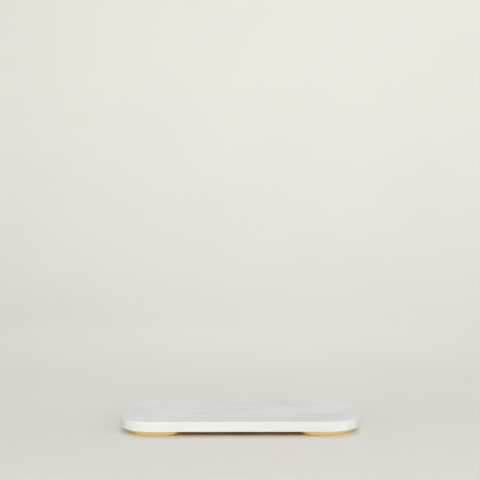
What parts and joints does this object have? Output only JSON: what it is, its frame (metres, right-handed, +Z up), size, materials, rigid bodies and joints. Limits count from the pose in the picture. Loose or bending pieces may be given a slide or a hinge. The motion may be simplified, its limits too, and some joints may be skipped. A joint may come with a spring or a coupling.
{
  "type": "dresser vanity tray",
  "caption": "Low rectangular stone tray with large round corners, carried on oval metal feet set in under its corners.",
  "frame": {"origin": "centre of the footprint, on the surface that the tray stands on", "axes": "+Z up, +X along the long side of the slab, -Y towards the person in front of the dresser"},
  "size_m": [0.3048, 0.1524, 0.0197],
  "materials": {
    "marble": "honed",
    "brass": "satin",
    "adhesive": "satin",
    "sole_rubber": "matte",
    "screw_steel": "satin",
    "insert_brass": "machined",
    "resin": "gloss"
  },
  "bodies": {
    "root": {"marble_slab": "marble", "brass_foot_front_left": "brass", "brass_foot_front_right": "brass", "brass_foot_back_left": "brass", "brass_foot_back_right": "brass", "adhesive_layer_front_left": "adhesive", "adhesive_layer_front_right": "adhesive", "adhesive_layer_back_left": "adhesive", "adhesive_layer_back_right": "adhesive", "rubber_sole_front_left": "sole_rubber", "rubber_sole_front_right": "sole_rubber", "rubber_sole_back_left": "sole_rubber", "rubber_sole_back_right": "sole_rubber", "foot_screws_front_left": "screw_steel", "foot_screws_front_right": "screw_steel", "foot_screws_back_left": "screw_steel", "foot_screws_back_right": "screw_steel", "threaded_inserts_front_left": "insert_brass", "threaded_inserts_front_right": "insert_brass", "threaded_inserts_back_left": "insert_brass", "threaded_inserts_back_right": "insert_brass", "insert_resin_front_left": "resin", "insert_resin_front_right": "resin", "insert_resin_back_left": "resin", "insert_resin_back_right": "resin"}
  },
  "joints": []
}
